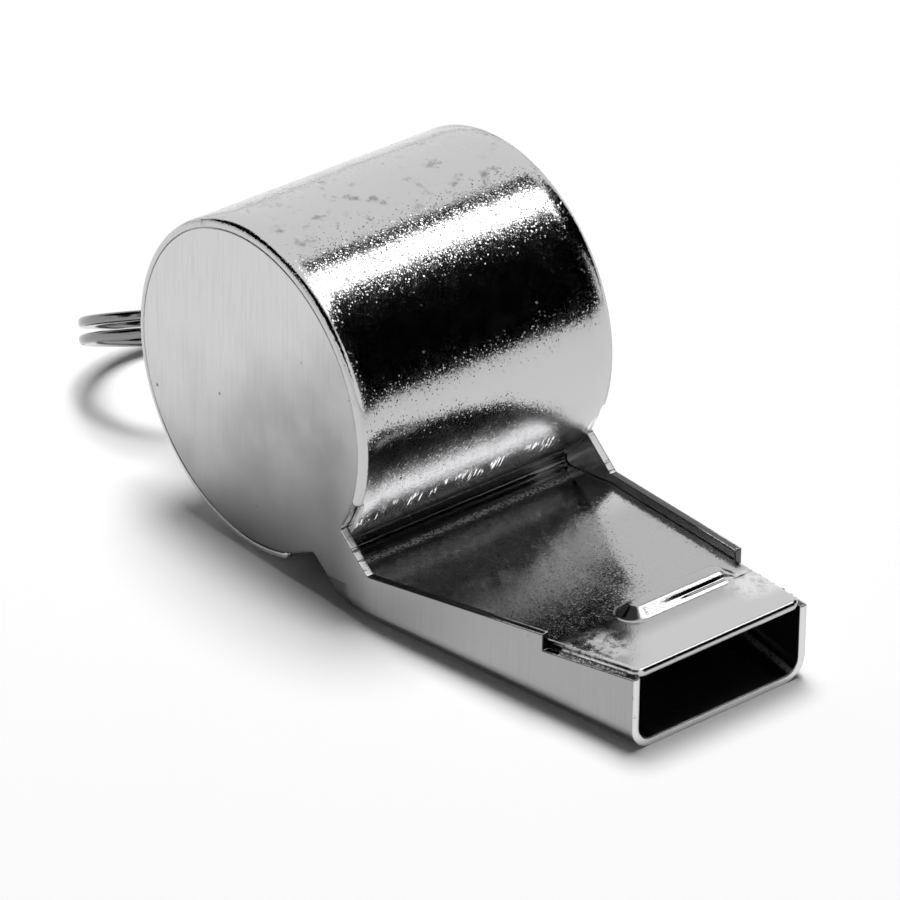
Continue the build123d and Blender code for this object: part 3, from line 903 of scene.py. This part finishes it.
@dataclass(frozen=True)
class CorkFinish:
    """Cork: tan granules pressed together, with dark pores between them."""

    name: str
    pale: Colour = (0.60, 0.41, 0.24, 1.0)
    deep: Colour = (0.36, 0.21, 0.11, 1.0)
    pore: Colour = (0.10, 0.05, 0.03, 1.0)
    granule: float = 1.1 * MM
    gap_width: float = 0.09
    gap_share: float = 0.7
    gap_depth: float = 60 * MICRON
    fibres: Speckle = Speckle(0.25 * MM, 4.0, 0.65, (0.5, 0.8))
    fibre_share: float = 0.5
    fibre_depth: float = 25 * MICRON
    fibre_matt: Edge = (0.3, 0.7)
    roughness: Edge = (0.75, 0.95)
    gloss: float = 0.25

    def material(self) -> bpy.types.Material:
        """Build the finish.

        Returns:
            The material.
        """
        material, graph = new_material(self.name)
        place = graph.add("TexCoord").outputs["Object"]
        granules = graph.cells(place, self.granule)["Color"]
        lot = graph.add("SeparateColor", {0: granules}).outputs[0]
        rim = graph.cells(place, self.granule, feature="DISTANCE_TO_EDGE")["Distance"]
        gap = graph.fade(rim, 0.0, self.gap_width)
        fibre = self.fibres.pattern(graph, place)
        streaks = graph.span(fibre, *self.fibres.cut, 0.0, self.fibre_share)
        colour = graph.mix(lot, self.pale, self.deep)
        colour = graph.mix(streaks, colour, self.deep)
        colour = graph.mix(graph.math("MULTIPLY", gap, self.gap_share), colour, self.pore)
        normal = graph.bump(graph.math("SUBTRACT", 1.0, gap), self.gap_depth)
        normal = graph.bump(fibre, self.fibre_depth, normal)
        rough = graph.span(fibre, *self.fibre_matt, *self.roughness)
        graph.surface(colour, rough, normal, Metallic=0.0, Specular_IOR_Level=self.gloss)
        return material


def dress(node: bpy.types.Object, material: bpy.types.Material) -> None:
    """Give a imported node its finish.

    Args:
        node: A node's object.
        material: The finish.
    """
    node.data.materials.clear()
    node.data.materials.append(material)
    LOG.info("dressed %s in %s", node.name, material.name)


@dataclass
class FoldedBody:
    """The two folded sheets that make the barrel, windway and mouth."""

    nodes: dict[str, bpy.types.Object]
    channel: ChannelFinish = ChannelFinish(
        "plated_channel",
        tint=(0.62, 0.62, 0.625, 1.0),
        roughness=0.15,
        edge_radius=0.2 * MM,
        crystal_tilt=0.05,
        pit_share=0.3,
    )
    strip: StripFinish = StripFinish(
        "plated_strip",
        tint=(0.56, 0.56, 0.565, 1.0),
        wave_depth=10 * MICRON,
        crystal_tilt=0.17,
    )

    def build(self) -> None:
        """Dress both sheets."""
        dress(self.nodes["body_channel"], self.channel.material())
        dress(self.nodes["barrel_strip"], self.strip.material())


@dataclass
class LanyardRing:
    """The lug on the barrel's back and the split ring that hangs in it."""

    nodes: dict[str, bpy.types.Object]
    lug: PlatedFinish = PlatedFinish("plated_lug", roughness=0.16)
    wire: PlatedFinish = PlatedFinish(
        "ring_wire",
        tint=(0.24, 0.24, 0.245, 1.0),
        crystal_tilt=0.04,
    )

    def build(self) -> None:
        """Dress the lug and the ring."""
        dress(self.nodes["ring_lug"], self.lug.material())
        dress(self.nodes["split_ring"], self.wire.material())


@dataclass(frozen=True)
class DropletScatter:
    """Geometry Nodes group that strews small droplets along a straight seam."""

    name: str = "solder_droplets"
    roundness: int = 3
    # Numbers of the Random Value node's float sockets, whose names repeat.
    random_min: int = 2
    random_max: int = 3
    random_value: int = 1

    def tree(self) -> bpy.types.NodeTree:
        """Build the node group.

        Returns:
            The group, with its inputs named.
        """
        tree = bpy.data.node_groups.new(self.name, "GeometryNodeTree")
        kinds = {
            "Start": "NodeSocketVector",
            "End": "NodeSocketVector",
            "Low": "NodeSocketVector",
            "High": "NodeSocketVector",
            "Count": "NodeSocketInt",
            "Small": "NodeSocketFloat",
            "Large": "NodeSocketFloat",
            "Seed": "NodeSocketInt",
            "Material": "NodeSocketMaterial",
        }
        for name, kind in kinds.items():
            tree.interface.new_socket(name, in_out="INPUT", socket_type=kind)
        tree.interface.new_socket("Geometry", in_out="OUTPUT", socket_type="NodeSocketGeometry")
        nodes = tree.nodes
        link = tree.links.new
        given = nodes.new("NodeGroupInput").outputs
        seam = nodes.new("GeometryNodeCurvePrimitiveLine")
        points = nodes.new("GeometryNodeCurveToPoints")
        shake = nodes.new("FunctionNodeRandomValue")
        place = nodes.new("GeometryNodeSetPosition")
        drop = nodes.new("GeometryNodeMeshIcoSphere")
        size = nodes.new("FunctionNodeRandomValue")
        strew = nodes.new("GeometryNodeInstanceOnPoints")
        real = nodes.new("GeometryNodeRealizeInstances")
        smooth = nodes.new("GeometryNodeSetShadeSmooth")
        paint = nodes.new("GeometryNodeSetMaterial")
        result = nodes.new("NodeGroupOutput")
        shake.data_type = "FLOAT_VECTOR"
        drop.inputs["Radius"].default_value = 1.0
        drop.inputs["Subdivisions"].default_value = self.roundness
        link(given["Start"], seam.inputs["Start"])
        link(given["End"], seam.inputs["End"])
        link(seam.outputs[0], points.inputs[0])
        link(given["Count"], points.inputs["Count"])
        link(given["Low"], shake.inputs["Min"])
        link(given["High"], shake.inputs["Max"])
        link(given["Seed"], shake.inputs["Seed"])
        link(points.outputs["Points"], place.inputs["Geometry"])
        link(shake.outputs["Value"], place.inputs["Offset"])
        link(place.outputs[0], strew.inputs["Points"])
        link(drop.outputs["Mesh"], strew.inputs["Instance"])
        link(given["Small"], size.inputs[self.random_min])
        link(given["Large"], size.inputs[self.random_max])
        link(given["Seed"], size.inputs["Seed"])
        link(size.outputs[self.random_value], strew.inputs["Scale"])
        link(strew.outputs[0], real.inputs[0])
        link(real.outputs[0], smooth.inputs[0])
        link(smooth.outputs[0], paint.inputs[0])
        link(given["Material"], paint.inputs["Material"])
        link(paint.outputs[0], result.inputs[0])
        return tree


def grown(name: str, tree: bpy.types.NodeTree, values: dict[str, object]) -> bpy.types.Object:
    """Run a node group once and keep its result as a plain mesh.

    Args:
        name: The new piece's name.
        tree: A geometry node group.
        values: The group's inputs by name.

    Returns:
        The piece, at the origin.
    """
    piece = bpy.data.objects.new(name, bpy.data.meshes.new(name))
    bpy.context.scene.collection.objects.link(piece)
    modifier = piece.modifiers.new("grow", "NODES")
    modifier.node_group = tree
    for item in tree.interface.items_tree:
        if item.in_out == "INPUT":
            modifier[item.identifier] = values[item.name]
    view = bpy.context.evaluated_depsgraph_get()
    mesh = bpy.data.meshes.new_from_object(piece.evaluated_get(view))
    piece.modifiers.clear()
    piece.data = mesh
    return piece


@dataclass
class SolderSeams:
    """Solder along the seams, with the droplets that stand on the beads beside the head."""

    nodes: dict[str, bpy.types.Object]
    finish: SolderFinish = SolderFinish("tin_solder")
    bead_width: float = 0.3 * MM
    bead_height: float = 0.2 * MM
    droplets: int = 60
    small: float = 0.03 * MM
    large: float = 0.1 * MM
    across: Edge = (0.15, 0.85)
    upwards: Edge = (0.1, 0.6)
    seed: int = 5

    def seam_droplets(
        self,
        name: str,
        side: int,
        tree: bpy.types.NodeTree,
        material: bpy.types.Material,
    ) -> None:
        """Strew droplets along the bead on one side of the head.

        Args:
            name: The bead's node.
            side: 1 or -1 for the bead's direction along Y.
            tree: The scatter's node group.
            material: The solder.
        """
        low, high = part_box(name)
        rear_y = high.y - self.bead_width if side > 0 else low.y + self.bead_width
        front_y = low.y if side > 0 else high.y
        reach = sorted(share * side * self.bead_width for share in self.across)
        bottom, top = self.upwards
        values = {
            "Start": (low.x + self.large, rear_y, low.z),
            "End": (high.x - self.large, front_y, high.z - self.bead_height),
            "Low": (0.0, reach[0], bottom * self.bead_height),
            "High": (0.0, reach[1], top * self.bead_height),
            "Count": self.droplets,
            "Small": self.small,
            "Large": self.large,
            "Seed": self.seed + side,
            "Material": material,
        }
        piece = grown(name + "_droplets", tree, values)
        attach(piece, Body.WHISTLE.value)
        LOG.info("made %s with %d faces", piece.name, len(piece.data.polygons))

    def build(self) -> None:
        """Dress every bead of solder and strew the droplets."""
        material = self.finish.material()
        for name, node in self.nodes.items():
            if "solder" in name:
                dress(node, material)
        tree = DropletScatter().tree()
        self.seam_droplets("head_solder_left", -1, tree, material)
        self.seam_droplets("head_solder_right", 1, tree, material)


@dataclass
class CorkPea:
    """The cork ball: a turned ball with a pitted, slightly uneven surface."""

    finish: CorkFinish = CorkFinish("cork_ball")
    levels: int = 6
    lump: float = 1.6 * MM
    lump_depth: float = 0.12 * MM
    pore: float = 0.45 * MM
    pore_depth: float = 0.10 * MM
    pore_level: float = 0.25
    pore_slope: float = 2.5
    pore_offset: Triple = (7.0, 3.0, 5.0)

    def surface(self, spot: Vector, radius: float) -> float:
        """Distance of the surface from the ball's middle in one direction.

        Args:
            spot: Unit direction.
            radius: The turned ball's radius.

        Returns:
            The distance, never more than the radius.
        """
        swell = 0.5 + 0.5 * noise.noise(spot * radius / self.lump)
        hollow = noise.noise(spot * radius / self.pore + Vector(self.pore_offset))
        depth = max(0.0, hollow - self.pore_level)
        sunk = self.pore_depth * min(1.0, self.pore_slope * depth)
        return radius - self.lump_depth * swell - sunk

    def build(self) -> None:
        """Make the ball, let it stand for its plain solid and ride with it."""
        low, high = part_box("pea")
        middle = (low + high) / 2
        radius = (high.x - low.x) / 2
        mesh = bpy.data.meshes.new("cork_pea")
        ball = bmesh.new()
        bmesh.ops.create_icosphere(ball, subdivisions=self.levels, radius=1.0)
        for vertex in ball.verts:
            spot = vertex.co.normalized()
            vertex.co = middle + spot * self.surface(spot, radius)
        ball.to_mesh(mesh)
        ball.free()
        mesh.shade_smooth()
        mesh.materials.append(self.finish.material())
        piece = bpy.data.objects.new("cork_pea", mesh)
        bpy.context.scene.collection.objects.link(piece)
        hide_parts("pea")
        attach(piece, Body.PEA.value)
        LOG.info("made %s with %d faces", piece.name, len(mesh.polygons))


def bearing(azimuth: float, elevation: float) -> Vector:
    """Direction away from the whistle.

    Args:
        azimuth: Degrees from +X towards +Y.
        elevation: Degrees above the table.

    Returns:
        The direction, of length 1.
    """
    turn = math.radians(azimuth)
    rise = math.radians(elevation)
    level = math.cos(rise)
    return Vector((level * math.cos(turn), level * math.sin(turn), math.sin(rise)))


def rectangle(
    name: str,
    width: float,
    height: float,
    material: bpy.types.Material,
) -> bpy.types.Object:
    """A flat rectangle round the origin.

    Args:
        name: The object's name.
        width: Size along X.
        height: Size along Y.
        material: Its look.

    Returns:
        The object, facing up.
    """
    right = width / 2
    top = height / 2
    corners = [(-right, -top, 0.0), (right, -top, 0.0), (right, top, 0.0), (-right, top, 0.0)]
    mesh = bpy.data.meshes.new(name)
    mesh.from_pydata(corners, [], [(0, 1, 2, 3)])
    mesh.materials.append(material)
    piece = bpy.data.objects.new(name, mesh)
    bpy.context.scene.collection.objects.link(piece)
    return piece


@dataclass(frozen=True)
class Card:
    """A flat card of the studio, seen only in the plate's reflections."""

    name: str
    azimuth: Edge
    elevation: Edge
    strength: float
    distance: float = 0.6

    def build(self) -> None:
        """Hang the card so that it spans its angles round the whistle."""
        left, right = self.azimuth
        low, high = self.elevation
        rise = (low + high) / 2
        away = bearing((left + right) / 2, rise)
        level = self.distance * math.cos(math.radians(rise))
        width = 2 * level * math.tan(math.radians(right - left) / 2)
        height = 2 * self.distance * math.tan(math.radians(high - low) / 2)
        material, graph = new_material(self.name)
        glow = graph.add("Emission", {"Color": grey(1.0), "Strength": self.strength})
        graph.add("OutputMaterial", {"Surface": glow.outputs[0]})
        card = rectangle(self.name, width, height, material)
        card.rotation_mode = "QUATERNION"
        card.rotation_quaternion = (-away).to_track_quat("Z", "Y")
        card.location = away * self.distance
        card.visible_camera = False
        card.visible_diffuse = False
        card.visible_shadow = False
        card.visible_transmission = False


@dataclass(frozen=True)
class Lamp:
    """A round soft lamp that lights the table and the object, but isn't mirrored itself."""

    name: str
    azimuth: float
    elevation: float
    watts: float
    distance: float = 0.8
    size: float = 0.16

    def build(self) -> None:
        """Hang the lamp in its direction, pointed at the whistle."""
        away = bearing(self.azimuth, self.elevation)
        data = bpy.data.lights.new(self.name, "AREA")
        data.shape = "DISK"
        data.size = self.size
        data.energy = self.watts
        lamp = bpy.data.objects.new(self.name, data)
        lamp.rotation_mode = "QUATERNION"
        lamp.rotation_quaternion = (-away).to_track_quat("-Z", "Y")
        lamp.location = away * self.distance
        lamp.visible_glossy = False
        bpy.context.scene.collection.objects.link(lamp)


@dataclass(frozen=True)
class PhotoCamera:
    """Camera at the photograph's viewing angle."""

    place: Vector = Vector((0.287617, -0.239327, 0.222066))
    right: Vector = Vector((0.640946, 0.767543, 0.008087))
    forward: Vector = Vector((-0.661488, 0.557667, -0.501440))
    lens_mm: float = 280.0
    sensor_mm: float = 36.0
    nearest: float = 0.01
    farthest: float = 20.0

    def build(self) -> None:
        """Make the scene's camera."""
        data = bpy.data.cameras.new("photo_camera")
        data.lens = self.lens_mm
        data.sensor_width = self.sensor_mm
        data.clip_start = self.nearest
        data.clip_end = self.farthest
        camera = bpy.data.objects.new("photo_camera", data)
        up = self.right.cross(self.forward)
        turn = Matrix((self.right, up, -self.forward)).transposed().to_4x4()
        camera.matrix_world = Matrix.Translation(self.place) @ turn
        bpy.context.scene.collection.objects.link(camera)
        bpy.context.scene.camera = camera


@dataclass(frozen=True)
class Studio:
    """White table, white surroundings, two soft lamps and the cards that the plate mirrors."""

    table_size: float = 6.0
    table_white: float = 1.0
    table_rough: float = 0.9
    table_gloss: float = 0.1
    table_drop: float = 0.01 * MM
    fill: float = 0.08
    lamps: tuple[Lamp, ...] = (
        Lamp("top_lamp", 75.0, 84.0, 1.6),
        Lamp("rear_lamp", 150.0, 72.0, 4.7, size=0.4),
    )
    cards: tuple[Card, ...] = (
        Card("softbox_card", (69.0, 93.0), (44.0, 70.0), 3.5),
        Card("rim_card", (0.0, 66.0), (61.0, 80.0), 2.6),
        Card("dark_card_right", (4.0, 61.0), (0.5, 60.0), 0.0),
        Card("dark_card_front", (-105.0, -40.0), (12.0, 62.0), 0.0),
        Card("dark_card_left", (-172.0, -105.0), (8.0, 50.0), 0.0),
        Card("dark_card_far", (61.0, 100.0), (2.0, 42.0), 0.0),
        Card("dark_strip_top", (93.0, 109.0), (44.0, 72.0), 0.0),
    )

    def world(self) -> None:
        """White surroundings for what is seen and mirrored, and an even fill for the rest."""
        world = bpy.data.worlds.new("white_studio")
        world.use_nodes = True
        graph = NodeGraph(world.node_tree)
        path = graph.add("LightPath").outputs
        seen = graph.math("MAXIMUM", path["Is Camera Ray"], path["Is Glossy Ray"])
        seen = graph.math("MAXIMUM", seen, path["Is Transmission Ray"])
        levels = {"Value": seen, "To Min": self.fill, "To Max": 1.0}
        strength = graph.add("MapRange", levels).outputs["Result"]
        sky = graph.add("Background", {"Color": grey(1.0), "Strength": strength})
        graph.add("OutputWorld", {"Surface": sky.outputs[0]})
        bpy.context.scene.world = world

    def table(self) -> None:
        """The pale table that takes the shadow."""
        material, graph = new_material("table_white")
        look = {
            "Base Color": grey(self.table_white),
            "Roughness": self.table_rough,
            "Specular IOR Level": self.table_gloss,
        }
        shader = graph.add("BsdfPrincipled", look)
        graph.add("OutputMaterial", {"Surface": shader.outputs[0]})
        table = rectangle("table", self.table_size, self.table_size, material)
        table.location.z = -self.table_drop

    def build(self) -> None:
        """Set up the surroundings, the table, the lamps and the cards."""
        bpy.context.scene.view_settings.view_transform = "Standard"
        self.world()
        self.table()
        for fitting in (*self.lamps, *self.cards):
            fitting.build()


def main() -> None:
    """Load the frame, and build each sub-assembly and the studio."""
    logging.basicConfig(level=logging.INFO, format="%(name)s: %(message)s")
    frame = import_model()
    PhotoCamera().build()
    Studio().build()
    nodes = frame["nodes"]
    FoldedBody(nodes).build()
    LanyardRing(nodes).build()
    SolderSeams(nodes).build()
    CorkPea().build()


if __name__ == "__main__":
    main()
